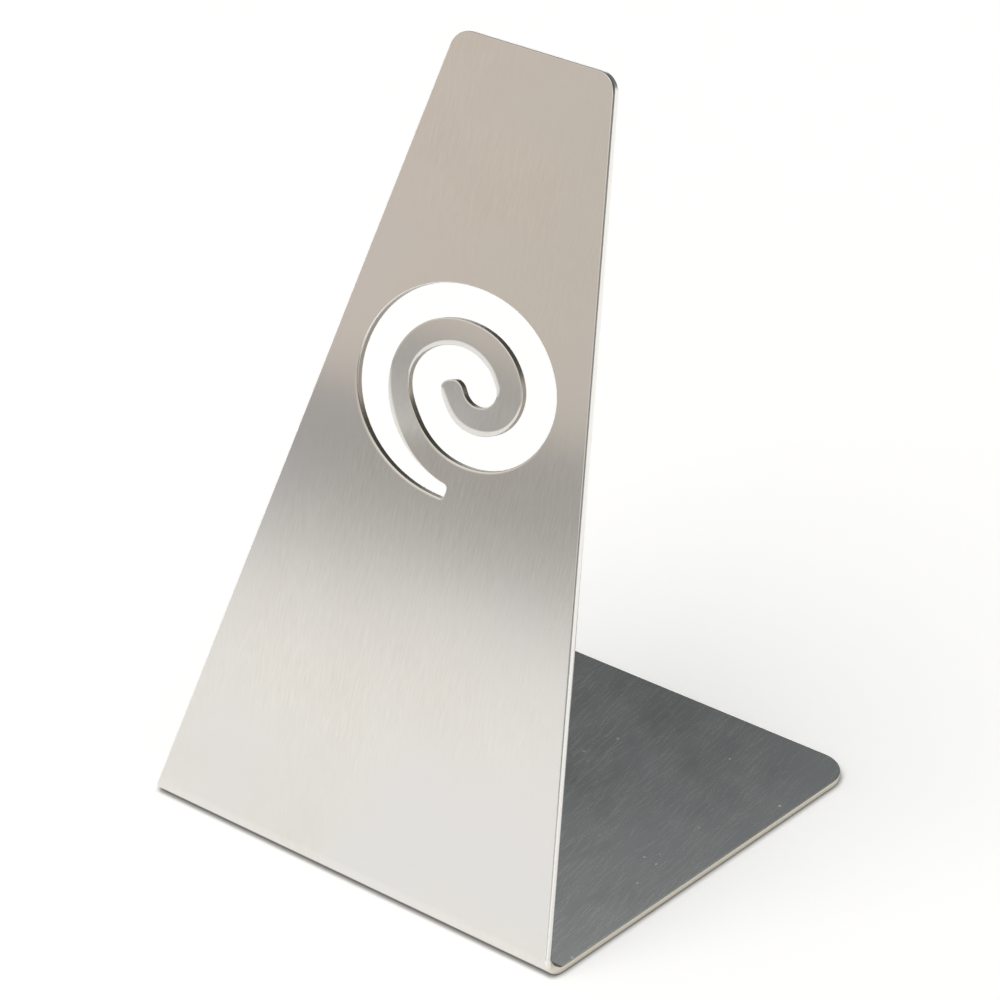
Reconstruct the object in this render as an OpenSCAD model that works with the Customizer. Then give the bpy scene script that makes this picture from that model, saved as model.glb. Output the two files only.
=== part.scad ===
// Place card holder: one blank of brushed stainless steel sheet, folded once.
// A tapered panel leans back over a flat base, and a spiral slot frees the tongue that clips the card.
// Front faces -Y, X is to the right, and the origin is under the middle of the holder.

/* [Panel] */
// Width of the sheet at the outside corner of the fold
fold_width = 50; // [40:0.5:70]
// Width of the panel at its top edge, before the corners are rounded
top_width = 18.2; // [12:0.1:30]
// Slant length of the panel, from the outside corner of the fold to the top edge
panel_length = 86.3; // [75:0.1:110]
// Backward lean of the panel from upright, in degrees
panel_lean = 23; // [10:0.5:35]
// Radius of the panel's two top corners
top_corner_r = 2.25; // [0.5:0.25:4]

/* [Base] */
// Length of the base, from the outside corner of the fold to the back edge
base_length = 45.8; // [35:0.1:60]
// Radius of the base's two back corners
back_corner_r = 3; // [0.5:0.25:6]

/* [Sheet] */
// Thickness of the steel sheet
sheet_t = 0.9; // [0.6:0.05:1.5]
// Inside radius of the fold
bend_r = 0.7; // [0.1:0.05:2]

/* [Spiral clip] */
// Offset of the spiral's centre to the right of the panel's middle
spiral_x = 1.4; // [-3:0.1:3]
// Height of the spiral's centre up the panel, from the outside corner of the fold
spiral_up = 53.2; // [44:0.1:56]
// Radius of the slot's middle line at its outer end
spiral_r = 10.45; // [9.5:0.05:11.5]
// Width of the slot, up and down the panel
slot_w = 3.3; // [2.4:0.1:3.6]
// Width of the slot at its narrow outer end
slot_tip_w = 1.5; // [1.2:0.1:2.4]
// Gap between the tongue and the panel at the tongue's root
root_gap = 0.1; // [0.05:0.05:0.3]
// Forward set of the tongue out of the panel, in degrees
tongue_set = 1.2; // [0:0.1:4]

/* [Hidden] */

// The slot's middle line: its radius at every eighth of a turn, clockwise from straight below the centre
radius_shares = [
    1, 0.965, 0.92, 0.865, 0.765, 0.69, 0.66, 0.62,
    0.53, 0.435, 0.41, 0.28, 0.16, 0.11, 0.12, 0.18
];
// The spiral is a little wider than it is high
stretch_share = 1.15;
// Turns in degrees: between two radii, at the slot's two ends, and over the widening of its outer end
knot_turn = 45;
start_turn = 4;
end_turn = 614;
widen_turn = 80;
// Turns in degrees between the points of an outline
outline_turn = 5;
round_turn = 12;
// Powers of the rounds at the slot's narrow and inner ends: 1 is a half circle, and less is squarer
start_power = 0.6;
end_power = 1;
// Turn to either side over which the slot's direction is taken, and halvings that find a turn
slope_turn = 0.5;
halvings = 30;

// The fold: how far it turns, its outside radius, and how far it reaches from the outside corner
fold_turn = 90 + panel_lean;
bend_r_out = bend_r + sheet_t;
setback = bend_r_out * tan(fold_turn / 2);
fold_nose = setback - bend_r_out;
// The blank's sides are straight: half its width falls by this share of the way up
side_share = (fold_width - top_width) / 2 / panel_length;
// The outside corner lies so that the origin is half way from the fold's nose to the back edge
corner_y = -(fold_nose + base_length) / 2;

steel_light = [0.80, 0.79, 0.77];
steel_fold = [0.84, 0.84, 0.82];
steel_dark = [0.45, 0.46, 0.46];
steel_tongue = [0.72, 0.71, 0.69];

// Half the blank's width at a distance up the panel from the outside corner, and back along the base below 0
function half_width(up) = fold_width / 2 - side_share * up;

function unit(v) = v / norm(v);
function turned(v, a) = [v.x * cos(a) - v.y * sin(a), v.x * sin(a) + v.y * cos(a)];
function in_reverse(list) = [for (i = [len(list) - 1 : -1 : 0]) list[i]];

// Points of the arc of radius r that rounds corner b between points a and c
function rounded_corner(a, b, c, r) =
    let (
        u = unit(a - b),
        v = unit(c - b),
        half = acos(u * v) / 2,
        middle = b + unit(u + v) * r / sin(half),
        first = b + u * r / tan(half) - middle,
        last = b + v * r / tan(half) - middle,
        sweep = sign(cross(first, last)) * (180 - 2 * half),
        count = ceil(abs(sweep) / round_turn)
    )
    [for (i = [0 : count]) middle + turned(first, sweep * i / count)];

// A radius share by its place in the list, carried on in line past either end
last_share = len(radius_shares) - 1;
function share_at(i) =
    i < 0 ? 2 * radius_shares[0] - radius_shares[1]
    : i > last_share ? 2 * radius_shares[last_share] - radius_shares[last_share - 1]
    : radius_shares[i];

// Smooth curve between q and r, with p before them and s after them
function smooth(p, q, r, s, f) =
    q + (r - p) * f / 2 + (2 * p - 5 * q + 4 * r - s) * f * f / 2 + (3 * q - p - 3 * r + s) * f * f * f / 2;

function spiral_radius(turn) =
    let (
        i = max(0, min(last_share - 1, floor(turn / knot_turn))),
        f = turn / knot_turn - i
    )
    spiral_r * smooth(share_at(i - 1), share_at(i), share_at(i + 1), share_at(i + 2), f);

// The slot's middle line, the way along it and the way out of it, about the spiral's centre
function slot_middle(turn) = spiral_radius(turn) * [-sin(turn), -cos(turn)];
function slot_along(turn) = unit(slot_middle(turn + slope_turn) - slot_middle(turn - slope_turn));
function slot_outward(turn) = turned(slot_along(turn), 90);
function slot_half(turn) =
    slot_tip_w / 2 + (slot_w - slot_tip_w) / 2 * sin(90 * min(1, (turn - start_turn) / widen_turn));

// A point about the spiral's centre, stretched and set on the panel
function on_panel(p) = [spiral_x + stretch_share * p.x, spiral_up + p.y];

// The slot's outer edge (side 1) and inner edge (side -1), and the run of either between two turns
function slot_edge(turn, side) = on_panel(slot_middle(turn) + side * slot_half(turn) * slot_outward(turn));
function slot_run(from, to, side) =
    let (count = ceil(abs(to - from) / outline_turn))
    [for (i = [0 : count]) slot_edge(from + (to - from) * i / count, side)];

// The slot's round end at a turn, from its outer edge to its inner edge, bulging on (way 1) or back (way -1)
function slot_round(turn, way) =
    let (
        count = ceil(180 / round_turn),
        power = way > 0 ? end_power : start_power
    )
    [for (i = [1 : count - 1])
        let (
            a = 180 * i / count,
            side = sign(cos(a)) * pow(abs(cos(a)), power),
            bulge = way * pow(sin(a), power)
        )
        on_panel(slot_middle(turn) + slot_half(turn) * (side * slot_outward(turn) + bulge * slot_along(turn)))];

// The turn between low and high at which an edge, running to the left, passes x
function turn_at(x, side, low, high, left = halvings) =
    let (mid = (low + high) / 2)
    left == 0 ? mid
    : slot_edge(mid, side).x > x ? turn_at(x, side, mid, high, left - 1)
    : turn_at(x, side, low, mid, left - 1);

// The tongue's root is a straight cut up from the slot's narrow end to the slot's next pass
root_x = slot_edge(start_turn, -1).x;
tongue_x = root_x - root_gap;
quarter = 90;
root_turn = turn_at(root_x, 1, 360, 360 + quarter);
tongue_low_turn = turn_at(tongue_x, -1, start_turn, start_turn + quarter);
tongue_high_turn = turn_at(tongue_x, 1, 360, 360 + quarter);
root_up = (slot_edge(start_turn, -1).y + slot_edge(root_turn, 1).y) / 2;

// The opening in the panel: the slot and all that the tongue takes up
clip_window = concat(
    slot_run(start_turn, root_turn, 1),
    [slot_edge(start_turn, -1)],
    in_reverse(slot_round(start_turn, -1))
);

tongue_outline = concat(
    slot_run(tongue_low_turn, end_turn, -1),
    in_reverse(slot_round(end_turn, 1)),
    slot_run(end_turn, tongue_high_turn, 1)
);

// Stands a flat shape up in the panel, turned forward about the middle of the tongue's root
module leaning_sheet(set = 0) {
    translate([0, corner_y, 0])
        rotate([90 - panel_lean, 0, 0])
            translate([0, root_up, -sheet_t / 2])
                rotate([set, 0, 0])
                    translate([0, -root_up, -sheet_t / 2])
                        linear_extrude(sheet_t)
                            children();
}

module panel_outline() {
    low_left = [-half_width(setback), setback];
    low_right = [half_width(setback), setback];
    top_right = [half_width(panel_length), panel_length];
    top_left = [-half_width(panel_length), panel_length];
    polygon(concat(
        [low_left, low_right],
        rounded_corner(low_right, top_right, top_left, top_corner_r),
        rounded_corner(top_right, top_left, low_left, top_corner_r)
    ));
}

module front_panel() {
    color(steel_light)
        leaning_sheet()
            difference() {
                panel_outline();
                polygon(clip_window);
            }
}

module card_tongue() {
    color(steel_tongue)
        leaning_sheet(tongue_set)
            polygon(tongue_outline);
}

// The folded strip between base and panel, a ring of four corners at each step round the bend
module fold_bend() {
    steps = ceil(fold_turn / outline_turn);
    middle_y = corner_y + setback;
    function ring_point(x, r, a) = [x, middle_y - r * sin(a), bend_r_out - r * cos(a)];
    points = [for (i = [0 : steps])
        let (
            a = fold_turn * i / steps,
            x = half_width(setback * (2 * i / steps - 1))
        )
        each [
            ring_point(-x, bend_r_out, a),
            ring_point(x, bend_r_out, a),
            ring_point(x, bend_r, a),
            ring_point(-x, bend_r, a)
        ]];
    walls = [for (i = [0 : steps - 1], k = [0 : 3])
        let (
            a = 4 * i + k,
            b = 4 * i + (k + 1) % 4
        )
        each [[a, a + 4, b + 4], [a, b + 4, b]]];
    first_end = [[0, 1, 2], [0, 2, 3]];
    top = 4 * steps;
    last_end = [[top, top + 2, top + 1], [top, top + 3, top + 2]];
    color(steel_fold)
        polyhedron(points, concat(first_end, walls, last_end));
}

module base_plate() {
    front_left = [-half_width(-setback), setback];
    front_right = [half_width(-setback), setback];
    back_right = [half_width(-base_length), base_length];
    back_left = [-half_width(-base_length), base_length];
    color(steel_dark)
        translate([0, corner_y, 0])
            linear_extrude(sheet_t)
                polygon(concat(
                    [front_left, front_right],
                    rounded_corner(front_right, back_right, back_left, back_corner_r),
                    rounded_corner(back_right, back_left, front_left, back_corner_r)
                ));
}

front_panel();
fold_bend();
base_plate();
card_tongue();
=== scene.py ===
"""Looks of a place card holder: one blank of brushed stainless steel, folded once, with a spiral card clip.

Sizes are in millimetres, as in the part's source, and turn to metres where a mesh or a light is made.
A point of the flat blank is (across, up): across from its middle line, and up from the outside corner of the
fold, so that up is negative on the base. The outer face is the panel's front and the base's underside, and
depth runs from it into the sheet.
"""

import logging
import math
from dataclasses import dataclass, field
from enum import Enum
from typing import Any, Callable

import bpy
from bpy.types import Material, Node, NodeSocket, NodeTree, Object
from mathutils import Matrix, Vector
from mathutils.geometry import delaunay_2d_cdt


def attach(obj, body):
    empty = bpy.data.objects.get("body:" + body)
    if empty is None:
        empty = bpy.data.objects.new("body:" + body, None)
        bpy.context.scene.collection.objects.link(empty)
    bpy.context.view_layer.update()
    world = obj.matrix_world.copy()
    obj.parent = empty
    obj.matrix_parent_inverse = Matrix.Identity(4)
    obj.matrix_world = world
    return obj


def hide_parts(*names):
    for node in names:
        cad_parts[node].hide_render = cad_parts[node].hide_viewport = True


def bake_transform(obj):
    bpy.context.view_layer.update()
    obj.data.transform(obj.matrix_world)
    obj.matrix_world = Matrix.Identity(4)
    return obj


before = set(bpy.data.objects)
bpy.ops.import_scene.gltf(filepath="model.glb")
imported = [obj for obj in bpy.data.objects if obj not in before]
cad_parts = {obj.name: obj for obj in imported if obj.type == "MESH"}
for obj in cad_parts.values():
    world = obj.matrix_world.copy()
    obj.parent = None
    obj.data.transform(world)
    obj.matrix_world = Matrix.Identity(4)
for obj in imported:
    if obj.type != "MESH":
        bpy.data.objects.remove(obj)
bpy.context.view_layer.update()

MM = 0.001
# A cut edge is eased by at most this share of a tight corner's radius and so many millimetres, and the ease
# changes over so many points to either side.
ROOM_SHARE = 0.5
MOST_ROOM = 1.0
ROOM_STEPS = 6
# How a flat outline is filled: with triangles inside it, and points closer than this are taken as one.
FILL_INSIDE = 1
SAME_POINT = 1e-7
# Sockets of a Mix node for colours: its factor, its two colours and its result.
MIX_FACTOR, MIX_FIRST, MIX_SECOND, MIX_RESULT = 0, 6, 7, 2
ACROSS = Vector((1.0, 0.0, 0.0))

log = logging.getLogger("place_card_holder")


class SlotEdge(Enum):
    """An edge of the spiral slot, as the way to it from the slot's middle line."""

    OUTER = 1
    INNER = -1


class Zone(Enum):
    """Where a face lies on the sheet, which is also its material slot."""

    OUTER_FACE = 0
    INNER_FACE = 1
    RIM = 2
    SLOT_WALL = 3


class Hold(Enum):
    """What stays the same as a point of a contour moves in from the edge."""

    NOTHING = 0
    ACROSS = 1
    UP = 2


def linear(hex_colour: str) -> tuple[float, float, float, float]:
    """Turns an sRGB hex colour to linear red, green, blue and alpha.

    Args:
        hex_colour: Six hex digits, such as "c4bcb0".

    Returns:
        The linear colour, with an alpha of 1.
    """
    parts = [int(hex_colour[i:i + 2], 16) / 255 for i in (0, 2, 4)]
    return (*(c / 12.92 if c <= 0.04045 else ((c + 0.055) / 1.055) ** 2.4 for c in parts), 1.0)


def add_node(tree: NodeTree, kind: str, inputs: dict[Any, Any] | None = None, **settings: Any) -> Node:
    """Adds a node with its settings, input values and links.

    Args:
        tree: The node tree that takes it.
        kind: The node's type name, without ShaderNode in front.
        inputs: Input name or number to a value, or to the output socket that it is linked from.
        **settings: The node's own properties.

    Returns:
        The new node.
    """
    node = tree.nodes.new("ShaderNode" + kind)
    for name, value in settings.items():
        setattr(node, name, value)
    for key, value in (inputs or {}).items():
        if isinstance(value, NodeSocket):
            tree.links.new(value, node.inputs[key])
        else:
            node.inputs[key].default_value = value
    return node


def set_ramp(node: Node, stops: list[tuple[float, str]]) -> None:
    """Gives a colour ramp its stops.

    Args:
        node: The colour ramp.
        stops: Place from 0 to 1 and sRGB hex colour of each stop, in order.
    """
    ramp = node.color_ramp
    while len(ramp.elements) < len(stops):
        ramp.elements.new(1.0)
    for element, (place, colour) in zip(ramp.elements, stops):
        element.position = place
        element.color = linear(colour)


def fade(tree: NodeTree, value: NodeSocket, first: str | NodeSocket, second: str | NodeSocket,
         span: tuple[float, ...] = (0.0, 1.0), most: float = 1.0, curve: str = "LINEAR") -> NodeSocket:
    """Fades from one colour to another as a value goes over a span.

    Args:
        tree: The node tree that takes the nodes.
        value: The value.
        first: The colour before the span, as sRGB hex or an output socket.
        second: The colour after the span.
        span: Where the fade starts and ends.
        most: The share of the second colour at the end.
        curve: How the share rises, as the node names it.

    Returns:
        The colour.
    """
    share = add_node(tree, "MapRange", {
        "Value": value, "From Min": span[0], "From Max": span[1], "To Max": most}, interpolation_type=curve)
    colours = [linear(colour) if isinstance(colour, str) else colour for colour in (first, second)]
    return add_node(tree, "Mix", {
        MIX_FACTOR: share.outputs["Result"], MIX_FIRST: colours[0], MIX_SECOND: colours[1]},
        data_type="RGBA").outputs[MIX_RESULT]


def start_material(name: str) -> tuple[Material, NodeTree, Node]:
    """Starts a material.

    Args:
        name: Its name.

    Returns:
        The material, its node tree and its shader.
    """
    made = bpy.data.materials.new(name)
    made.use_nodes = True
    return made, made.node_tree, made.node_tree.nodes["Principled BSDF"]


def add_object(name: str, data: Any) -> Object:
    """Adds an object to the scene.

    Args:
        name: Its name.
        data: Its mesh, camera or light.

    Returns:
        The new object.
    """
    made = bpy.data.objects.new(name, data)
    bpy.context.scene.collection.objects.link(made)
    return made


def smooth_step(t: float) -> float:
    """Rises smoothly from 0 to 1 as t does, and stays level outside."""
    t = min(1.0, max(0.0, t))
    return t * t * (3 - 2 * t)


@dataclass(frozen=True)
class EdgeStation:
    """A step round the section of a cut edge.

    Attributes:
        inset: Distance in from the cut, in millimetres.
        depth: Distance behind the outer face, in millimetres.
        outward: Share of the surface's normal that points out of the metal.
        facing: Share of the normal that points out of the outer face.
        reach: The widest inset of the rounding that the step belongs to, in millimetres.
    """

    inset: float
    depth: float
    outward: float
    facing: float
    reach: float


@dataclass(frozen=True)
class CutEdge:
    """Section of a cut edge.

    The outer face falls off a little, and both faces are eased where they meet the wall. The roll is the fall
    and the ease of the outer face.
    """

    fall_width: float
    fall_depth: float
    outer_r: float
    inner_r: float
    roll: Zone
    wall: Zone
    eased: Zone
    fall_steps: int = 8
    round_steps: int = 6

    def stations(self, thickness: float) -> list[EdgeStation]:
        """Lists the steps of the section, from the outer face to the inner face.

        Args:
            thickness: The sheet's thickness.

        Returns:
            The steps, in order.
        """
        found = []
        whole = self.fall_width + self.outer_r
        for i in range(self.fall_steps):
            share = i / self.fall_steps
            normal = Vector((2 * self.fall_depth * share, self.fall_width)).normalized()
            found.append(EdgeStation(whole - self.fall_width * share, self.fall_depth * share ** 2,
                                     normal.x, normal.y, whole))
        first = math.atan2(2 * self.fall_depth, self.fall_width)
        for i in range(self.round_steps + 1):
            turn = first + (math.pi / 2 - first) * i / self.round_steps
            found.append(EdgeStation(self.outer_r * (1 - math.sin(turn)) / (1 - math.sin(first)),
                                     self.fall_depth + self.outer_r * (math.cos(first) - math.cos(turn)),
                                     math.sin(turn), math.cos(turn), whole))
        for i in range(self.round_steps + 1):
            turn = math.pi / 2 * i / self.round_steps
            found.append(EdgeStation(self.inner_r * (1 - math.cos(turn)),
                                     thickness - self.inner_r * (1 - math.sin(turn)),
                                     math.cos(turn), -math.sin(turn), self.inner_r))
        return found

    def zone(self, step: int) -> Zone:
        """Gives the zone of the faces between a step of the section and the next."""
        zones = [self.roll] * (self.fall_steps + self.round_steps) + [self.wall]
        return zones[step] if step < len(zones) else self.eased


@dataclass(frozen=True)
class Ease:
    """How wide a cut edge's ease may be, by the way that the edge faces.

    Attributes:
        way: The way that the edge faces where the ease is wide, as a unit vector.
        wide: The most that a point there may move in, in millimetres.
        thin: The most that a point which faces the other way may move in, in millimetres.
        power: More than 1 where the wide ease narrows soon to either side.
    """

    way: tuple[float, float]
    wide: float
    thin: float
    power: float = 1.0


@dataclass
class Contour:
    """A cut line on the flat blank, with the metal on its left.

    Attributes:
        points: Points along the line.
        outward: Unit vectors out of the metal.
        inset: Ways in which the points move in from the cut, for 1 mm.
        room: How far each point may move in before the line would cross itself, in millimetres.
    """

    points: list[Vector]
    outward: list[Vector]
    inset: list[Vector]
    room: list[float]

    @classmethod
    def closed(cls, points: list[Vector], holds: dict[int, Hold]) -> "Contour":
        """Makes a closed contour.

        Args:
            points: Points in order, the last joined to the first.
            holds: Number of a point to what stays the same as it moves in.

        Returns:
            The contour.
        """
        outward, inset, room = [], [], []
        for i, point in enumerate(points):
            step_in, step_out = point - points[i - 1], points[(i + 1) % len(points)] - point
            before, after = step_in.normalized(), step_out.normalized()
            along = (before + after).normalized()
            bend = math.atan2(before.cross(after), before.dot(after))
            reach = (step_in.length + step_out.length) / 2 * ROOM_SHARE
            room.append(reach / max(bend, reach / MOST_ROOM))
            inward = Vector((-along.y, along.x))
            outward.append(-inward)
            held = holds.get(i, Hold.NOTHING)
            if held is Hold.ACROSS:
                inward = inward - along * (inward.x / along.x)
            elif held is Hold.UP:
                inward = inward - along * (inward.y / along.y)
            inset.append(inward)
        near = range(-ROOM_STEPS, ROOM_STEPS + 1)
        room = [sum(room[(i + k) % len(room)] for k in near) / len(near) for i in range(len(room))]
        return cls(points, outward, inset, room)

    def part(self, first: int, last: int) -> "Contour":
        """Gives the open stretch from one point to another, past the end of the list if need be.

        Args:
            first: Number of the first point.
            last: Number of the last point.

        Returns:
            The stretch, both points among it.
        """
        count = len(self.points)
        numbers = [i % count for i in range(first, (last if last > first else last + count) + 1)]
        return Contour(*([values[i] for i in numbers]
                         for values in (self.points, self.outward, self.inset, self.room)))

    def eased(self, ease: Ease) -> "Contour":
        """Gives the same line with a wide ease where the edge faces one way, and a thin one elsewhere.

        Args:
            ease: How wide the ease may be.

        Returns:
            The same line with less room.
        """
        way, room = Vector(ease.way), []
        for own, out in zip(self.room, self.outward):
            share = smooth_step(((1 + out.dot(way)) / 2) ** ease.power)
            room.append(min(own, ease.thin + (ease.wide - ease.thin) * share))
        return Contour(self.points, self.outward, self.inset, room)

    def with_end_room(self, first: float, last: float, steps: int) -> "Contour":
        """Gives an open stretch whose ease changes to given widths at its ends.

        Args:
            first: How far the first point may move in.
            last: How far the last point may move in.
            steps: Number of points over which the room changes.

        Returns:
            The same line with other room at its ends.
        """
        count = len(self.points)
        room = []
        for i, own in enumerate(self.room):
            end, steps_in = (first, i) if i < count / 2 else (last, count - 1 - i)
            room.append(end + (own - end) * smooth_step(steps_in / steps))
        return Contour(self.points, self.outward, self.inset, room)


@dataclass(frozen=True)
class Blank:
    """The steel blank, flat and folded."""

    fold_width: float = 50.0
    top_width: float = 18.2
    panel_length: float = 86.3
    panel_lean: float = 23.0
    top_corner_r: float = 2.25
    base_length: float = 45.8
    back_corner_r: float = 3.0
    thickness: float = 0.9
    bend_r: float = 0.7
    bend_steps: int = 24
    corner_steps: int = 12

    @property
    def fold_turn(self) -> float:
        """The fold's whole turn, in radians."""
        return math.radians(90 + self.panel_lean)

    @property
    def bend_r_out(self) -> float:
        """The fold's radius on the outer face."""
        return self.bend_r + self.thickness

    @property
    def setback(self) -> float:
        """How far the fold reaches from its outside corner."""
        return self.bend_r_out * math.tan(self.fold_turn / 2)

    @property
    def corner_y(self) -> float:
        """Where the fold's outside corner lies, with the origin under the middle of the holder."""
        return -(self.setback - self.bend_r_out + self.base_length) / 2

    def half_width(self, up: float) -> float:
        """Gives half the blank's width at a distance up."""
        return self.fold_width / 2 - (self.fold_width - self.top_width) / 2 / self.panel_length * up

    def turn_at(self, up: float) -> float:
        """Gives how far the sheet has turned from the base, in radians."""
        return self.fold_turn * min(1.0, max(0.0, (up + self.setback) / (2 * self.setback)))

    def axes_at(self, up: float) -> tuple[Vector, Vector]:
        """Gives the unit vectors up along the sheet and out of its outer face, once it is folded."""
        sine, cosine = math.sin(self.turn_at(up)), math.cos(self.turn_at(up))
        return Vector((0.0, -cosine, sine)), Vector((0.0, -sine, -cosine))

    def folded(self, across: float, up: float, depth: float) -> Vector:
        """Places a point of the flat blank on the folded sheet.

        Args:
            across: Distance from the middle line.
            up: Distance up from the fold's outside corner.
            depth: Distance behind the outer face.

        Returns:
            The point in the holder's frame, in millimetres.
        """
        along, out = self.axes_at(up)
        corner = Vector((across, self.corner_y, 0.0))
        if abs(up) >= self.setback:
            return corner + along * up - out * depth
        middle = corner + Vector((0.0, self.setback, self.bend_r_out))
        return middle + out * (self.bend_r_out - depth)

    def corner(self, before: Vector, corner: Vector, after: Vector, radius: float) -> list[Vector]:
        """Rounds a corner of the outline.

        Args:
            before: The point that the outline comes from.
            corner: The sharp corner.
            after: The point that it goes to.
            radius: The corner's radius.

        Returns:
            Points along the arc.
        """
        to_before, to_after = (before - corner).normalized(), (after - corner).normalized()
        half = to_before.angle(to_after) / 2
        middle = corner + (to_before + to_after).normalized() * radius / math.sin(half)
        first = corner + to_before * radius / math.tan(half) - middle
        last = corner + to_after * radius / math.tan(half) - middle
        whole = first.angle(last)
        found = []
        for i in range(self.corner_steps + 1):
            share = i / self.corner_steps
            found.append(middle + (first * math.sin(whole * (1 - share)) + last * math.sin(whole * share))
                         / math.sin(whole))
        return found

    def bend_ups(self) -> list[float]:
        """Lists the heights of the fold's steps, from the base to the panel."""
        return [self.setback * (2 * i / self.bend_steps - 1) for i in range(self.bend_steps + 1)]

    def outline(self) -> tuple[Contour, int, int]:
        """Draws the blank's outline: up the fold's right side, round the panel, down and round the base.

        Returns:
            The outline, and the numbers of the first point of its left side and of the base.
        """
        ups = self.bend_ups()
        right = [Vector((self.half_width(up), up)) for up in ups]
        left = [Vector((-self.half_width(up), up)) for up in reversed(ups)]
        top = [Vector((side * self.half_width(self.panel_length), self.panel_length)) for side in (1, -1)]
        back = [Vector((side * self.half_width(-self.base_length), -self.base_length)) for side in (-1, 1)]
        panel = (self.corner(right[-1], top[0], top[1], self.top_corner_r)
                 + self.corner(top[0], top[1], left[0], self.top_corner_r))
        base = (self.corner(left[-1], back[0], back[1], self.back_corner_r)
                + self.corner(back[0], back[1], right[0], self.back_corner_r))
        left_first = len(right) + len(panel)
        holds = {i: Hold.UP for i in (*range(len(right)), *range(left_first, left_first + len(left)))}
        return Contour.closed(right + panel + left + base, holds), left_first, left_first + len(left)


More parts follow.
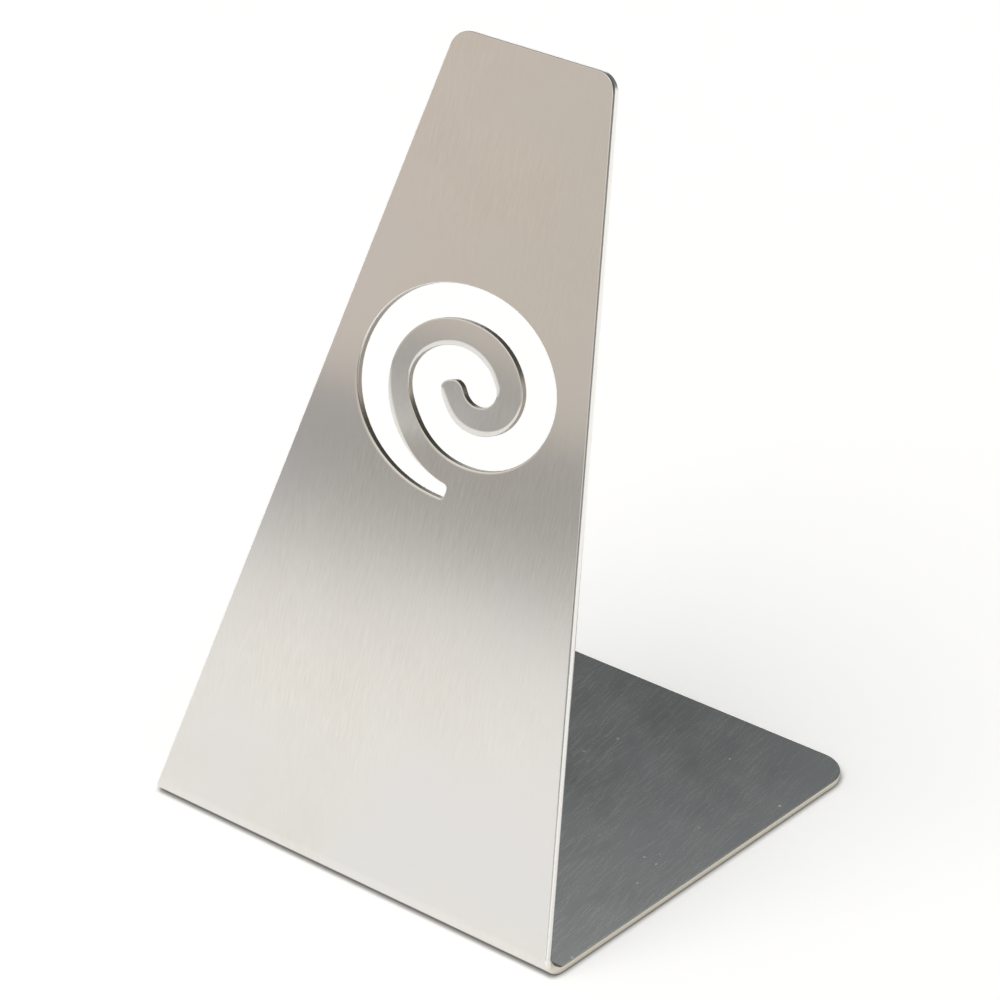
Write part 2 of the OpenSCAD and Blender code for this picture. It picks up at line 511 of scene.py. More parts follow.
@dataclass(frozen=True)
class SpiralSlot:
    """The spiral slot in the panel, by its middle line's radius at every eighth of a turn.

    The turns are in degrees, clockwise from straight below the spiral's centre.
    """

    across: float = 1.4
    up: float = 53.2
    radius: float = 10.45
    width: float = 3.3
    tip_width: float = 1.5
    radius_shares: tuple[float, ...] = (1, 0.965, 0.92, 0.865, 0.765, 0.69, 0.66, 0.62, 0.53, 0.435, 0.41,
                                        0.28, 0.16, 0.11, 0.12, 0.18)
    stretch_share: float = 1.15
    knot_turn: float = 45.0
    start_turn: float = 4.0
    end_turn: float = 614.0
    widen_turn: float = 80.0
    point_turn: float = 2.5
    slope_turn: float = 0.5
    # The power of the two ends' rounds: 1 is a half circle, and less is squarer.
    start_power: float = 0.6
    end_power: float = 1.0
    round_steps: int = 24
    # The slot's next pass is over the tongue's root between these turns, and so many halvings find where.
    root_turns: tuple[float, float] = (360.0, 450.0)
    halvings: int = 40

    def share_at(self, i: int) -> float:
        """Gives a radius share by its number, carried on in line past either end.

        Args:
            i: The number.

        Returns:
            The share of the spiral's radius.
        """
        shares = self.radius_shares
        if i < 0:
            return 2 * shares[0] - shares[1]
        return shares[i] if i < len(shares) else 2 * shares[-1] - shares[-2]

    def radius_at(self, turn: float) -> float:
        """Gives the middle line's radius, on a smooth curve through the shares.

        Args:
            turn: The turn.

        Returns:
            The radius, in millimetres.
        """
        i = max(0, min(len(self.radius_shares) - 2, math.floor(turn / self.knot_turn)))
        f = turn / self.knot_turn - i
        p, q, r, s = (self.share_at(i + k) for k in (-1, 0, 1, 2))
        curve = (q + (r - p) * f / 2 + (2 * p - 5 * q + 4 * r - s) * f * f / 2
                 + (3 * q - p - 3 * r + s) * f ** 3 / 2)
        return self.radius * curve

    def middle(self, turn: float) -> Vector:
        """Gives a point of the middle line about the spiral's centre."""
        a = math.radians(turn)
        return self.radius_at(turn) * Vector((-math.sin(a), -math.cos(a)))

    def along(self, turn: float) -> Vector:
        """Gives the unit vector along the slot."""
        return (self.middle(turn + self.slope_turn) - self.middle(turn - self.slope_turn)).normalized()

    def out(self, turn: float) -> Vector:
        """Gives the unit vector out of the slot's middle line, away from the spiral's centre."""
        along = self.along(turn)
        return Vector((-along.y, along.x))

    def half(self, turn: float) -> float:
        """Gives half the slot's width, which widens from its narrow outer end."""
        share = min(1.0, (turn - self.start_turn) / self.widen_turn)
        return self.tip_width / 2 + (self.width - self.tip_width) / 2 * math.sin(math.pi / 2 * share)

    def on_panel(self, point: Vector) -> Vector:
        """Sets a point about the spiral's centre on the blank."""
        return Vector((self.across + self.stretch_share * point.x, self.up + point.y))

    def edge(self, turn: float, side: SlotEdge) -> Vector:
        """Gives a point of one of the slot's edges on the blank."""
        return self.on_panel(self.middle(turn) + side.value * self.half(turn) * self.out(turn))

    def run(self, first: float, last: float, side: SlotEdge) -> list[Vector]:
        """Lists the points of an edge between two turns, both ends among them."""
        count = math.ceil(abs(last - first) / self.point_turn)
        return [self.edge(first + (last - first) * i / count, side) for i in range(count + 1)]

    def end_round(self, turn: float, way: int) -> list[Vector]:
        """Lists the points of one of the slot's round ends, from its outer edge to its inner edge.

        Args:
            turn: The turn at which the slot ends.
            way: 1 where the end bulges on along the slot, and -1 where it bulges back.

        Returns:
            The points between the two edges.
        """
        along, out = self.along(turn), self.out(turn)
        power = self.end_power if way > 0 else self.start_power
        found = []
        for i in range(1, self.round_steps):
            a = math.pi * i / self.round_steps
            side = math.copysign(abs(math.cos(a)) ** power, math.cos(a))
            step = side * out + way * math.sin(a) ** power * along
            found.append(self.on_panel(self.middle(turn) + self.half(turn) * step))
        return found

    @property
    def root_across(self) -> float:
        """Where the tongue's root is, a line up the panel from the slot's narrow end."""
        return self.edge(self.start_turn, SlotEdge.INNER).x

    @property
    def root_turn(self) -> float:
        """The turn at which the slot's next pass is over the root.

        Returns:
            The turn.
        """
        low, high = self.root_turns
        for _ in range(self.halvings):
            mid = (low + high) / 2
            if self.edge(mid, SlotEdge.OUTER).x > self.root_across:
                low = mid
            else:
                high = mid
        return (low + high) / 2

    def contour(self) -> tuple[Contour, int, int]:
        """Draws the whole slot: its outer edge, its inner end, its inner edge back and its narrow end.

        Returns:
            The contour, and the numbers of the points at the upper and the lower end of the tongue's root.
        """
        to_root = self.run(self.start_turn, self.root_turn, SlotEdge.OUTER)
        past_root = self.run(self.root_turn, self.end_turn, SlotEdge.OUTER)[1:]
        back = self.run(self.end_turn, self.start_turn, SlotEdge.INNER)
        points = (to_root + past_root + self.end_round(self.end_turn, 1) + back
                  + self.end_round(self.start_turn, -1)[::-1])
        high = len(to_root) - 1
        low = len(points) - self.round_steps
        return Contour.closed(points, {high: Hold.ACROSS, low: Hold.ACROSS}), high, low


# Takes a flat point and its normal to the holder's frame, in millimetres.
Placer = Callable[[Vector, Vector], tuple[Vector, Vector]]


@dataclass
class SheetMesh:
    """Vertices and faces of a piece of sheet, kept flat until the piece is placed.

    Attributes:
        thickness: The sheet's thickness.
        points: Places on the flat blank: across, up and depth.
        normals: Normals there: across, up and out of the outer face.
        faces: Faces by their points.
        zones: The zone of each face.
        flat: Numbers of the faces that keep a normal of their own.
    """

    thickness: float
    points: list[Vector] = field(default_factory=list)
    normals: list[Vector] = field(default_factory=list)
    faces: list[list[int]] = field(default_factory=list)
    zones: list[Zone] = field(default_factory=list)
    flat: set[int] = field(default_factory=set)

    def add_face(self, corners: list[int], zone: Zone) -> None:
        """Adds a face."""
        self.faces.append(corners)
        self.zones.append(zone)

    def skin_edge(self, contour: Contour, section: CutEdge, closed: bool) -> list[list[int]]:
        """Skins a cut edge along a contour.

        Args:
            contour: The cut line.
            section: The section of the cut edge.
            closed: Whether its last point joins its first.

        Returns:
            The numbers of the points on each step of the section, from the outer face to the inner face.
        """
        rings = []
        for station in section.stations(self.thickness):
            ring = []
            for i, point in enumerate(contour.points):
                squeeze = min(1.0, contour.room[i] / station.reach)
                place = point + contour.inset[i] * station.inset * squeeze
                out = contour.outward[i] * station.outward / squeeze
                ring.append(len(self.points))
                self.points.append(Vector((place.x, place.y, station.depth)))
                self.normals.append(Vector((out.x, out.y, station.facing)))
            rings.append(ring)
        count = len(contour.points)
        for k in range(len(rings) - 1):
            for i in range(count if closed else count - 1):
                j = (i + 1) % count
                self.add_face([rings[k][i], rings[k + 1][i], rings[k + 1][j], rings[k][j]], section.zone(k))
        return rings

    def fill(self, loops: list[list[int]], zone: Zone) -> None:
        """Fills the flat sheet between closed loops of points.

        Args:
            loops: The outer loop and any holes, by the numbers of their points.
            zone: The zone of the faces.
        """
        numbers = [n for loop in loops for n in loop]
        places = [self.points[n].xy for n in numbers]
        edges, first = [], 0
        for loop in loops:
            edges += [(first + i, first + (i + 1) % len(loop)) for i in range(len(loop))]
            first += len(loop)
        triangles, came_from = delaunay_2d_cdt(places, edges, [], FILL_INSIDE, SAME_POINT)[2:4]
        sides = [(places[a], places[b]) for a, b in edges]
        for triangle in triangles:
            corners = [came_from[i][0] for i in triangle]
            if not inside(sum((places[i] for i in corners), Vector((0.0, 0.0))) / 3, sides):
                continue
            a, b, c = (places[i] for i in corners)
            if ((b - a).cross(c - a) < 0) == (zone is Zone.OUTER_FACE):
                corners.reverse()
            self.add_face([numbers[i] for i in corners], zone)

    def add_cap(self, corners: list[int]) -> None:
        """Adds a flat face of cut metal with its own normal."""
        self.flat.add(len(self.faces))
        self.add_face(corners, Zone.SLOT_WALL)

    def make(self, name: str, place: Placer, materials: list[Material]) -> Object:
        """Places the points and makes the object.

        Args:
            name: The object's name.
            place: Takes a flat point and its normal to the holder's frame, in millimetres.
            materials: The materials, in the order of the zones.

        Returns:
            The new object.
        """
        placed = [place(point, normal) for point, normal in zip(self.points, self.normals)]
        mesh = bpy.data.meshes.new(name)
        mesh.from_pydata([point * MM for point, _ in placed], [], self.faces)
        mesh.polygons.foreach_set("material_index", [zone.value for zone in self.zones])
        mesh.shade_smooth()
        corner_normals = []
        for polygon in mesh.polygons:
            if polygon.index not in self.flat:
                corner_normals += [placed[v][1].normalized() for v in polygon.vertices]
                continue
            corner_normals += [polygon.normal] * len(polygon.vertices)
            for corner in polygon.loop_indices:
                mesh.edges[mesh.loops[corner].edge_index].use_edge_sharp = True
        mesh.normals_split_custom_set(corner_normals)
        for material in materials:
            mesh.materials.append(material)
        mesh.validate()
        return add_object(name, mesh)


def inside(point: Vector, sides: list[tuple[Vector, Vector]]) -> bool:
    """Tells whether a point lies inside an outline with holes.

    Args:
        point: The point.
        sides: The two ends of every side of every loop.

    Returns:
        True if a line out of it crosses an odd number of sides.
    """
    crossed = False
    for a, b in sides:
        if (a.y > point.y) != (b.y > point.y):
            if point.x < a.x + (point.y - a.y) / (b.y - a.y) * (b.x - a.x):
                crossed = not crossed
    return crossed


@dataclass(frozen=True)
class BrushedStainless:
    """Cold-rolled stainless sheet, brushed in one direction.

    The belt leaves fine parallel scores, so light spreads across them and stays sharp along them: flat areas
    show soft bands of what they face, with short streaks in the direction of the scores. A face that has been
    handled and slid about carries paler scratches, specks and clouds as well, and it is paler towards its
    sides.
    A span is the part of a noise, about 0.5, over which it acts, or a distance from the middle line.
    """

    name: str
    handled: bool = False
    light: str = "e8e6e1"
    dark: str = "e1ded9"
    tone_span: tuple[float, float] = (0.35, 0.65)
    cool: str = "e4e3e2"
    cool_size: float = 26.0
    cool_detail: float = 2.0
    cool_span: tuple[float, float] = (0.42, 0.62)
    # The colour that a handled face turns towards its sides, how far, and over which distances from the
    # middle line.
    paler_side: str = "fcfcfa"
    paler_side_share: float = 0.8
    paler_side_span: tuple[float, float] = (8.0, 34.0)
    roughness: float = 0.15
    anisotropy: float = 0.95
    # A belt of 180 grit scores every 0.05 mm or so: drawn coarser, so that the streaks show.
    score_width: float = 0.14
    score_length: float = 1.8
    score_height: float = 0.0003
    score_detail: float = 3.0
    score_span: tuple[float, float] = (0.3, 0.7)
    score_roughness: float = 0.012
    cloud_size: float = 9.0
    cloud_share: float = 0.4
    cloud_detail: float = 4.0
    cloud_span: tuple[float, float] = (0.35, 0.7)
    cloud_roughness: float = 0.05
    scratch_width: float = 0.18
    scratch_length: float = 5.0
    scratch_turns: tuple[float, ...] = (0.0, 9.0, -7.0)
    scratch_detail: float = 1.0
    scratch_span: tuple[float, float] = (0.61, 0.67)
    scratch_roughness: float = 0.1
    speck_spacing: float = 2.6
    speck_size: float = 0.18
    speck_metal: float = 0.4
    speck_roughness: float = 0.5
    # How much each finer layer of the noise counts.
    layer_share: float = 0.6

    def streaks(self, tree: NodeTree, place: NodeSocket, width: float, length: float, detail: float,
                turn: float = 0.0) -> NodeSocket:
        """Adds noise drawn out along the scores, which run up the panel and back along the base.

        Args:
            tree: The material's node tree.
            place: The place on the sheet, in metres.
            width: Width of a streak.
            length: Length of a streak.
            detail: Number of finer layers.
            turn: Degrees by which the streaks turn from the scores on the base.

        Returns:
            The noise, about 0.5.
        """
        scale = tuple(1 / (size * MM) for size in (width, length, length))
        turned = add_node(tree, "Mapping", {"Vector": place, "Rotation": (0.0, 0.0, math.radians(turn))})
        drawn = add_node(tree, "Mapping", {"Vector": turned.outputs["Vector"], "Scale": scale})
        return add_node(tree, "TexNoise", {
            "Vector": drawn.outputs["Vector"], "Scale": 1.0, "Detail": detail,
            "Roughness": self.layer_share}).outputs["Fac"]

    def colour(self, tree: NodeTree, place: NodeSocket, scores: NodeSocket, clouds: NodeSocket) -> NodeSocket:
        """Adds the colour: tones with the scores and clouds, cooler patches, and paler sides.

        Args:
            tree: The material's node tree.
            place: The place on the sheet, in metres.
            scores: Noise along the scores, about 0.5.
            clouds: Soft noise, about 0.5.

        Returns:
            The colour.
        """
        tones = add_node(tree, "Mix", {
            "Factor": self.cloud_share, "A": scores, "B": clouds}, data_type="FLOAT")
        colour = fade(tree, tones.outputs["Result"], self.dark, self.light, self.tone_span)
        patches = add_node(tree, "TexNoise", {
            "Vector": place, "Scale": 1 / (self.cool_size * MM), "Detail": self.cool_detail})
        colour = fade(tree, patches.outputs["Fac"], colour, self.cool, self.cool_span)
        if not self.handled:
            return colour
        # A handled face turns paler towards its sides.
        across = add_node(tree, "SeparateXYZ", {"Vector": place}).outputs["X"]
        aside = add_node(tree, "Math", {0: across}, operation="ABSOLUTE").outputs["Value"]
        span = tuple(distance * MM for distance in self.paler_side_span)
        return fade(tree, aside, colour, self.paler_side, span, self.paler_side_share)

    def material(self) -> Material:
        """Makes the material.

        Returns:
            The material.
        """
        made, tree, shader = start_material(self.name)
        shader.inputs["Metallic"].default_value = 1.0
        shader.inputs["Anisotropic"].default_value = self.anisotropy
        place = add_node(tree, "TexCoord").outputs["Object"]
        scores = self.streaks(tree, place, self.score_width, self.score_length, self.score_detail)
        clouds = add_node(tree, "TexNoise", {
            "Vector": place, "Scale": 1 / (self.cloud_size * MM), "Detail": self.cloud_detail,
            "Roughness": self.layer_share}).outputs["Fac"]
        tree.links.new(self.colour(tree, place, scores, clouds), shader.inputs["Base Color"])
        low, high = self.score_span
        rough = add_node(tree, "MapRange", {
            "Value": scores, "From Min": low, "From Max": high,
            "To Min": self.roughness - self.score_roughness,
            "To Max": self.roughness + self.score_roughness}).outputs["Result"]
        if self.handled:
            rough = self.add_wear(tree, shader, place, clouds, rough)
        tree.links.new(rough, shader.inputs["Roughness"])
        bump = add_node(tree, "Bump", {"Strength": 1.0, "Distance": self.score_height * MM, "Height": scores})
        tree.links.new(bump.outputs["Normal"], shader.inputs["Normal"])
        across = add_node(tree, "CombineXYZ", {"X": 1.0})
        turned = add_node(tree, "VectorTransform", {"Vector": across.outputs["Vector"]},
                          vector_type="VECTOR", convert_from="OBJECT", convert_to="WORLD")
        tree.links.new(turned.outputs["Vector"], shader.inputs["Tangent"])
        return made

    def add_wear(self, tree: NodeTree, shader: Node, place: NodeSocket, clouds: NodeSocket,
                 rough: NodeSocket) -> NodeSocket:
        """Roughens the clouds and scratches of a handled face, and strews it with specks of dust.

        Args:
            tree: The material's node tree.
            shader: The material's shader.
            place: The place on the sheet, in metres.
            clouds: Soft noise, about 0.5.
            rough: The roughness of the brushed face.

        Returns:
            The roughness with the wear.
        """
        cells = add_node(tree, "TexVoronoi", {"Vector": place, "Scale": 1 / (self.speck_spacing * MM)})
        from_speck = cells.outputs["Distance"]
        speck_edge = self.speck_size / self.speck_spacing
        metal = add_node(tree, "MapRange", {
            "Value": from_speck, "From Min": speck_edge / 2, "From Max": speck_edge,
            "To Min": self.speck_metal})
        tree.links.new(metal.outputs["Result"], shader.inputs["Metallic"])
        marks = [(clouds, self.cloud_span, self.cloud_roughness),
                 (from_speck, (speck_edge, speck_edge / 2), self.speck_roughness)]
        for turn in self.scratch_turns:
            lines = self.streaks(tree, place, self.scratch_width, self.scratch_length,
                                 self.scratch_detail, turn)
            marks.append((lines, self.scratch_span, self.scratch_roughness))
        for value, (start, end), added in marks:
            wear = add_node(tree, "MapRange", {
                "Value": value, "From Min": start, "From Max": end, "To Max": added})
            rough = add_node(tree, "Math", {0: rough, 1: wear.outputs["Result"]}).outputs["Value"]
        return rough


@dataclass(frozen=True)
class CutStainless:
    """Stainless steel where it was cut through.

    The wall of a cut carries no brushing: it is even and soft in its gloss. Along the outline it was tumbled
    bright, and close to the table it turns darker and warmer: painted shade. In the corner of the fold the
    back of the panel's edge is painted dark: painted shade of the corner. Inside the slot the wall is brown
    and darker.

    Attributes:
        name: The material's name.
        light: The lighter colour, in sRGB hex.
        dark: The colour of the small tears, in sRGB hex.
        low_shade: The colour close to the table, painted shade, in sRGB hex.
        roughness: The roughness.
        corner_shade: Painted shade on the back of the panel's edge in the corner of the fold, in sRGB hex, or
            nothing.
        corner_shade_share: How much of the sheet's thickness, at the back, takes the painted shade.
        corner_shade_heights: The heights above the table between which the painted shade fades.
        low_shade_height: The height above the table at which the painted shade starts to fade.
        tear_size: The size of a tear.
        tear_detail: Number of finer layers of tears.
    """

    name: str
    light: str
    dark: str
    low_shade: str
    roughness: float
    corner_shade: str = ""
    corner_shade_share: float = 0.35
    corner_shade_heights: tuple[float, float] = (24.0, 42.0)
    low_shade_height: float = 1.0
    tear_size: float = 0.25
    tear_detail: float = 3.0

    def corner_shade_amount(self, tree: NodeTree, place: NodeSocket, height: NodeSocket, blank: Blank) -> NodeSocket:
        """Adds how much painted shade the edge takes, by the depth in the panel and the height above the
        table.

        Args:
            tree: The material's node tree.
            place: The place on the sheet, in metres.
            height: The height above the table, in metres.
            blank: The blank, which gives the panel's plane.

        Returns:
            The amount, from 0 to 1.
        """
        out = blank.axes_at(blank.panel_length)[1]
        depth = add_node(tree, "VectorMath", {0: place, 1: -out}, operation="DOT_PRODUCT").outputs["Value"]
        back = blank.thickness - out.y * blank.corner_y
        deep = add_node(tree, "MapRange", {
            "Value": depth, "From Min": (back - blank.thickness * self.corner_shade_share) * MM,
            "From Max": (back - blank.thickness * self.corner_shade_share / 2) * MM})
        low, high = self.corner_shade_heights
        near = add_node(tree, "MapRange", {
            "Value": height, "From Min": high * MM, "From Max": low * MM})
        return add_node(tree, "Math", {0: deep.outputs["Result"], 1: near.outputs["Result"]},
                        operation="MULTIPLY").outputs["Value"]

    def material(self, blank: Blank) -> Material:
        """Makes the material.

        Args:
            blank: The blank that it is the edge of.

        Returns:
            The material.
        """
        made, tree, shader = start_material(self.name)
        shader.inputs["Metallic"].default_value = 1.0
        shader.inputs["Roughness"].default_value = self.roughness
        place = add_node(tree, "TexCoord").outputs["Object"]
        tears = add_node(tree, "TexNoise", {
            "Vector": place, "Scale": 1 / (self.tear_size * MM), "Detail": self.tear_detail})
        colour = fade(tree, tears.outputs["Fac"], self.dark, self.light)
        height = add_node(tree, "SeparateXYZ", {"Vector": place}).outputs["Z"]
        # Painted shade: the back of the panel's edge turns dark towards the corner of the fold.
        if self.corner_shade:
            colour = fade(tree, self.corner_shade_amount(tree, place, height, blank), colour, self.corner_shade)
        # Painted shade: close to the table the edge turns to the darker, warmer colour.
        low_shade_span = (self.low_shade_height * MM, 2 * self.low_shade_height * MM)
        tree.links.new(fade(tree, height, self.low_shade, colour, low_shade_span), shader.inputs["Base Color"])
        return made


@dataclass
class FoldedSheet:
    """The panel, the fold and the base: one sheet with the clip's window in it."""

    blank: Blank
    slot: SpiralSlot
    outline_section: CutEdge = CutEdge(
        fall_width=0.02, fall_depth=0.001, outer_r=0.26, inner_r=0.1,
        roll=Zone.RIM, wall=Zone.RIM, eased=Zone.RIM)
    slot_section: CutEdge = CutEdge(
        fall_width=0.2, fall_depth=0.03, outer_r=0.1, inner_r=0.12,
        roll=Zone.OUTER_FACE, wall=Zone.SLOT_WALL, eased=Zone.INNER_FACE)
    # The tumbling spares the top edge, and the cutting draws the window's lower edge further than its upper.
    outline_ease: Ease = Ease((0.0, -1.0), wide=0.48, thin=0.08)
    slot_ease: Ease = Ease((0.5, 0.866), wide=0.3, thin=0.08)
    name: str = "folded_sheet"
    body: str = "sheet"
    nodes: tuple[str, ...] = ("front_panel", "fold_bend", "base_plate")

    def place(self, point: Vector, normal: Vector) -> tuple[Vector, Vector]:
        """Folds a flat point and its normal."""
        along, out = self.blank.axes_at(point.y)
        return self.blank.folded(*point), ACROSS * normal.x + along * normal.y + out * normal.z

    def window_line(self) -> Contour:
        """Gives the edge of the clip's window, from the lower end of the tongue's root to the upper end."""
        slot, high, low = self.slot.contour()
        return slot.part(low, high).eased(self.slot_ease)

    def build(self, materials: list[Material]) -> Object:
        """Builds the sheet and ties it to its body.

        Args:
            materials: The materials, in the order of the zones.

        Returns:
            The new object.
        """
        sheet = SheetMesh(self.blank.thickness)
        outline, left_first, base_first = self.blank.outline()
        outer = sheet.skin_edge(outline.eased(self.outline_ease), self.outline_section, closed=True)
        window = sheet.skin_edge(self.window_line(), self.slot_section, closed=False)
        steps = self.blank.bend_steps
        for zone, k in ((Zone.OUTER_FACE, 0), (Zone.INNER_FACE, -1)):
            ring = outer[k]
            sheet.fill([ring[steps:left_first + 1], window[k]], zone)
            sheet.fill([ring[base_first - 1:] + ring[:1]], zone)
            for i in range(steps):
                right, left = ring[i:i + 2], ring[base_first - 2 - i:base_first - i]
                quad = [right[0], right[1], left[0], left[1]]
                sheet.add_face(quad if zone is Zone.OUTER_FACE else quad[::-1], zone)
        sheet.add_cap([ring[0] for ring in window] + [ring[-1] for ring in reversed(window)])
        made = sheet.make(self.name, self.place, materials)
        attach(made, self.body)
        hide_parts(*self.nodes)
        return made


@dataclass
class CardTongue:
    """The spiral tongue that clips the card, a spring of the sheet that starts at its root."""

    blank: Blank
    slot: SpiralSlot
    slot_section: CutEdge = CutEdge(
        fall_width=0.55, fall_depth=0.03, outer_r=0.1, inner_r=0.12,
        roll=Zone.OUTER_FACE, wall=Zone.SLOT_WALL, eased=Zone.INNER_FACE)
    # The cutting draws the tongue's lower edges further than its upper edges.
    slot_ease: Ease = Ease((-0.35, -0.937), wide=0.65, thin=0.16, power=2.0)
    root_steps: int = 24
    # Degrees of forward turn out of the panel, less so many per millimetre to the right and above a height.
    set_turn: float = 1.2
    twist: float = 0.02
    settle: float = 0.03
    settle_start: float = 52.0
    # The bend starts lower on the left of the root, by this share of the way across.
    bend_slant_share: float = 0.35
    bend_start: float = 46.2
    bend_length: float = 3.8
    flex_end: float = 52.0
    name: str = "card_tongue_spring"
    body: str = "tongue"
    nodes: tuple[str, ...] = ("card_tongue",)

    def turn_across(self, across: float) -> float:
        """Gives the forward turn out of the panel, in radians, which is less towards the tongue's right."""
        return math.radians(self.set_turn - self.twist * across)

    def bent_length(self, reach: float) -> float:
        """Gives the length over which the forward turn has acted at a reach past the bend's start."""
        t = min(1.0, max(0.0, reach / self.bend_length))
        return self.bend_length * (t ** 3 - t ** 4 / 2) + max(0.0, reach - self.bend_length)

    def place(self, point: Vector, normal: Vector) -> tuple[Vector, Vector]:
        """Sets a flat point and its normal forward, and folds them.

        Args:
            point: The point: across, up and depth.
            normal: The normal there: across, up and out of the outer face.

        Returns:
            The point in the holder's frame, in millimetres, and the normal there.
        """
        across, up, depth = point
        turn, settle = self.turn_across(across), math.radians(self.settle)
        reach = up - self.bend_start + self.bend_slant_share * (self.slot.root_across - across)
        settled = max(0.0, up - self.settle_start)
        bent = turn * smooth_step(reach / self.bend_length)
        slope = bent - settle * settled
        lean = -bent * self.bend_slant_share - math.radians(self.twist) * self.bent_length(reach)
        along, out = self.blank.axes_at(up)
        turned_along, turned_across = along + out * slope, ACROSS + out * lean
        turned_out = turned_across.cross(turned_along).normalized()
        middle = self.blank.thickness / 2
        forward = turn * self.bent_length(reach) - settle * settled ** 2 / 2
        place = self.blank.folded(across, up, middle) + out * forward + turned_out * (middle - depth)
        return place, turned_across * normal.x + turned_along * normal.y + turned_out * normal.z

    def build(self, materials: list[Material], window: Contour) -> Object:
        """Builds the tongue, set forward from its root.

        Args:
            materials: The materials, in the order of the zones.
            window: The edge of the window, which the tongue's edge runs on from.

        Returns:
            The new object.
        """
        sheet = SheetMesh(self.blank.thickness)
        slot, high, low = self.slot.contour()
        line = slot.part(high, low).eased(self.slot_ease)
        line = line.with_end_room(window.room[-1], window.room[0], self.root_steps)
        edge = sheet.skin_edge(line, self.slot_section, closed=False)
        sheet.fill([edge[0]], Zone.OUTER_FACE)
        sheet.fill([edge[-1]], Zone.INNER_FACE)
        sheet.add_cap([ring[0] for ring in edge] + [ring[-1] for ring in reversed(edge)])
        made = sheet.make(self.name, self.place, materials)
        start, end = (self.blank.folded(0.0, up, 0.0) * MM for up in (self.bend_start, self.flex_end))
        tuple(start)
        tuple(end)
        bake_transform(made)
        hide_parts(*self.nodes)
        return made


@dataclass(frozen=True)
class PhotoCamera:
    """The camera, at the photograph's viewing angle."""

    target: tuple[float, float, float] = (3.46, -0.19, 35.71)
    azimuth: float = 35.06
    elevation: float = 33.92
    distance: float = 306.9
    lens: float = 111.645
    sensor: float = 36.0
    clip: tuple[float, float] = (10.0, 10000.0)

    def build(self) -> None:
        """Makes the camera and sets it as the scene's."""
        data = bpy.data.cameras.new("camera")
        data.lens, data.sensor_width, data.sensor_fit = self.lens, self.sensor, "HORIZONTAL"
        data.clip_start, data.clip_end = (distance * MM for distance in self.clip)
        made = add_object("camera", data)
        a, e = math.radians(self.azimuth), math.radians(self.elevation)
        back = Vector((math.sin(a) * math.cos(e), -math.cos(a) * math.cos(e), math.sin(e)))
        made.location = (Vector(self.target) + back * self.distance) * MM
        made.rotation_mode = "QUATERNION"
        made.rotation_quaternion = (-back).to_track_quat("-Z", "Y")
        bpy.context.scene.camera = made


@dataclass(frozen=True)
class StudioCard:
    """An evenly lit card that stands by the holder and is seen only in the metal.

    Attributes:
        name: The card's name.
        corners: Its four corners, in millimetres.
        colours: Its colours on the left and on the right, in sRGB hex.
        change: Where the one starts to change to the other and where it ends, across, in millimetres.
    """

    name: str
    corners: tuple[tuple[float, float, float], ...]
    colours: tuple[str, str]
    change: tuple[float, float] = (0.0, 1.0)

    def build(self) -> None:
        """Makes the card."""
        mesh = bpy.data.meshes.new(self.name)
        mesh.from_pydata([Vector(corner) * MM for corner in self.corners], [], [(0, 1, 2, 3)])
        made = add_object(self.name, mesh)
        paint, tree, _ = start_material(self.name + "_lit")
        tree.nodes.clear()
        place = add_node(tree, "TexCoord").outputs["Object"]
        across = add_node(tree, "SeparateXYZ", {"Vector": place}).outputs["X"]
        colour = fade(tree, across, *self.colours, tuple(distance * MM for distance in self.change))
        glow = add_node(tree, "Emission", {"Color": colour, "Strength": 1.0})
        add_node(tree, "OutputMaterial", {"Surface": glow.outputs["Emission"]})
        mesh.materials.append(paint)
        made.visible_camera = False
        made.visible_diffuse = False
        made.visible_shadow = False


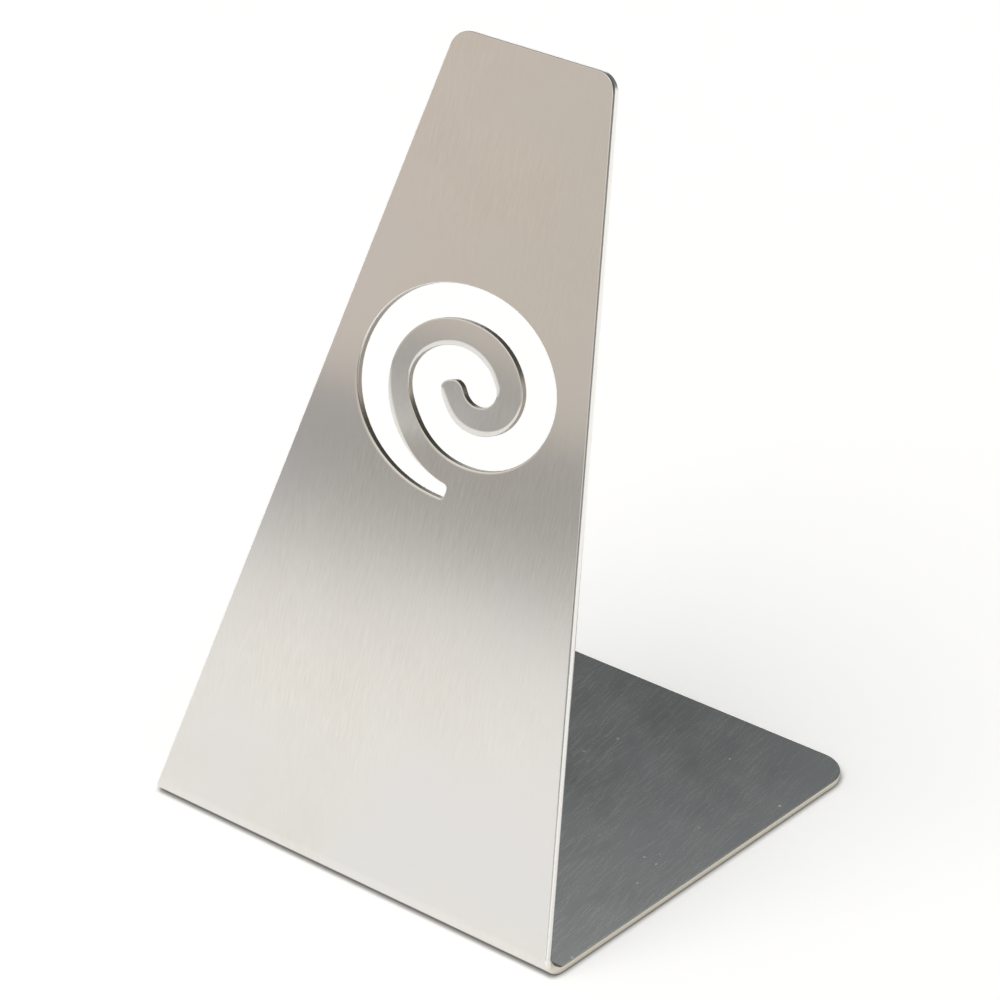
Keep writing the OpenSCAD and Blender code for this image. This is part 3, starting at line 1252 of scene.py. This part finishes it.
@dataclass(frozen=True)
class Studio:
    """A plain pale floor in soft studio light."""

    floor_size: float = 6000.0
    floor_colour: str = "f6f6f5"
    floor_roughness: float = 0.9
    # How much the floor glows where it is seen, the share of that in the metal, and the reach of its painted
    # contact shade.
    floor_lift: float = 0.31
    mirrored_share: float = 0.85
    contact_shade: float = 0.6
    shade_samples: int = 4
    sun_turn: tuple[float, float] = (30.0, -20.0)
    sun_spread: float = 50.0
    sun_strength: float = 1.0
    # The room by height above the horizon, in degrees, on the side of the white sweep and on the dark side.
    sweep_side: tuple[tuple[float, str], ...] = (
        (0.0, "fffdf9"), (1.6, "fefcf8"), (2.6, "f9f7f4"), (3.5, "eae9e7"), (4.1, "cfcecd"), (4.7, "bbb9b7"),
        (5.4, "aba8a5"), (8.0, "a6a3a0"), (12.0, "d6cdc5"), (40.0, "d8d2ca"), (55.0, "f5f4f2"))
    dark_side: tuple[tuple[float, str], ...] = (
        (0.0, "7a7a79"), (20.0, "525450"), (36.0, "565857"), (46.0, "6e7274"), (62.0, "f0f0ef"))
    # Degrees from the front to the sweep, degrees by which the heights slope on either side, and the cosines
    # of the angle to the sweep between which the one side gives way to the other.
    sweep_azimuth: float = -29.0
    sweep_tilt: float = 9.0
    dark_tilt: float = 5.5
    side_span: tuple[float, float] = (0.1, 0.6)
    cards: tuple[StudioCard, ...] = (
        StudioCard("warm_card",
                   ((-750, -600, 101.5), (120, -600, 162.4), (120, -600, 330), (-750, -600, 330)),
                   ("dcd1c9", "cfc9be"), change=(-360, -280)),
        StudioCard("light_card", ((-750, -600, 330), (120, -600, 330), (120, -600, 800), (-750, -600, 800)),
                   ("f4f3ec", "f4f3ec")),
        StudioCard("dark_card", ((160, -330, 32), (160, 20, 32), (160, 20, 150), (160, -330, 150)),
                   ("8a8b8e", "8a8b8e")),
        StudioCard("low_card", ((160, -330, 0), (160, 20, 0), (160, 20, 32), (160, -330, 32)),
                   ("f6f5f2", "f6f5f2")))

    def build_floor(self) -> None:
        """Makes the floor: white matt paper that is white where it is seen, also in the metal."""
        half = self.floor_size / 2 * MM
        corners = [(-half, -half, 0), (half, -half, 0), (half, half, 0), (-half, half, 0)]
        mesh = bpy.data.meshes.new("floor")
        mesh.from_pydata(corners, [], [(0, 1, 2, 3)])
        made = add_object("floor", mesh)
        paper, tree, shader = start_material("white_paper_matt")
        # Painted contact shade: ambient occlusion darkens the floor's colour, and its glow, close to the
        # holder.
        shade = add_node(tree, "AmbientOcclusion", {
            "Color": linear(self.floor_colour), "Distance": self.contact_shade * MM},
            samples=self.shade_samples)
        tree.links.new(shade.outputs["Color"], shader.inputs["Base Color"])
        shader.inputs["Roughness"].default_value = self.floor_roughness
        shader.inputs["Specular IOR Level"].default_value = 0.0
        rays = add_node(tree, "LightPath").outputs
        level = rays["Is Glossy Ray"]
        for operation, value in (
                ("MULTIPLY", self.mirrored_share), ("ADD", rays["Is Camera Ray"]),
                ("ADD", rays["Is Transmission Ray"]), ("MINIMUM", 1.0),
                ("MULTIPLY", self.floor_lift), ("MULTIPLY", shade.outputs["AO"])):
            level = add_node(tree, "Math", {0: level, 1: value}, operation=operation).outputs["Value"]
        glow = add_node(tree, "Emission", {"Strength": level})
        both = add_node(tree, "AddShader", {0: shader.outputs["BSDF"], 1: glow.outputs["Emission"]})
        tree.links.new(both.outputs["Shader"], tree.nodes["Material Output"].inputs["Surface"])
        mesh.materials.append(paper)

    def build_sun(self) -> None:
        """Makes the soft overhead light."""
        data = bpy.data.lights.new("overhead_light", "SUN")
        data.energy = self.sun_strength
        data.angle = math.radians(self.sun_spread)
        made = add_object("overhead_light", data)
        made.rotation_euler = (math.radians(self.sun_turn[0]), math.radians(self.sun_turn[1]), 0.0)
        made.visible_glossy = False

    def build_world(self) -> None:
        """Makes the room round the holder: a white sweep, a dark side across from it and a pale ceiling."""
        world = bpy.data.worlds.new("studio_room")
        bpy.context.scene.world = world
        world.use_nodes = True
        tree = world.node_tree
        tree.nodes.clear()
        way = add_node(tree, "TexCoord").outputs["Generated"]
        sweep = math.radians(self.sweep_azimuth)
        sine, cosine = math.sin(sweep), math.cos(sweep)
        ramps = []
        for stops, slope in ((self.dark_side, self.dark_tilt), (self.sweep_side, self.sweep_tilt)):
            tilt = math.radians(slope)
            room_up = (-cosine * math.sin(tilt), -sine * math.sin(tilt), math.cos(tilt))
            rise = add_node(tree, "VectorMath", {0: way, 1: room_up}, operation="DOT_PRODUCT")
            height = add_node(tree, "Math", {0: rise.outputs["Value"]}, operation="ARCSINE")
            share = add_node(tree, "Math", {0: height.outputs["Value"], 1: 2 / math.pi}, operation="MULTIPLY")
            ramp = add_node(tree, "ValToRGB", {"Fac": share.outputs["Value"]})
            set_ramp(ramp, [(degrees / 90, colour) for degrees, colour in stops])
            ramps.append(ramp.outputs["Color"])
        side = add_node(tree, "VectorMath", {0: way, 1: (sine, -cosine, 0.0)}, operation="DOT_PRODUCT")
        colour = fade(tree, side.outputs["Value"], *ramps, self.side_span, curve="SMOOTHSTEP")
        glow = add_node(tree, "Background", {"Color": colour, "Strength": 1.0})
        add_node(tree, "OutputWorld", {"Surface": glow.outputs["Background"]})

    def build(self) -> None:
        """Makes the floor, the lights and the room."""
        self.build_world()
        self.build_floor()
        self.build_sun()
        for card in self.cards:
            card.build()


def main() -> None:
    """Builds the holder and its studio."""
    logging.basicConfig(level=logging.INFO, format="%(name)s: %(message)s")
    bpy.context.scene.view_settings.view_transform = "Standard"
    PhotoCamera().build()
    Studio().build()
    blank, slot = Blank(), SpiralSlot()
    materials = [
        BrushedStainless("stainless_brushed").material(),
        BrushedStainless("stainless_brushed_handled", handled=True, light="dfdfdc", dark="ccccc9",
                         cool="e1e1df", cool_size=14.0, cloud_share=0.6, cloud_size=5.0).material(),
        # The outline's edge is painted with shade close to the table and in the corner of the fold.
        CutStainless("stainless_sheared_tumbled", light="fcfbf8", dark="f0eee9", low_shade="ddd7ca", roughness=0.2,
                     corner_shade="84868e").material(blank),
        # The slot's walls are given a darker, brown colour.
        CutStainless("stainless_cut_slot_brown", light="b0a79c", dark="857c72", low_shade="857c72",
                     roughness=0.25).material(blank),
    ]
    sheet, tongue = FoldedSheet(blank, slot), CardTongue(blank, slot)
    for made in (sheet.build(materials), tongue.build(materials, sheet.window_line())):
        log.info("%s: %d faces", made.name, len(made.data.polygons))


if __name__ == "__main__":
    main()
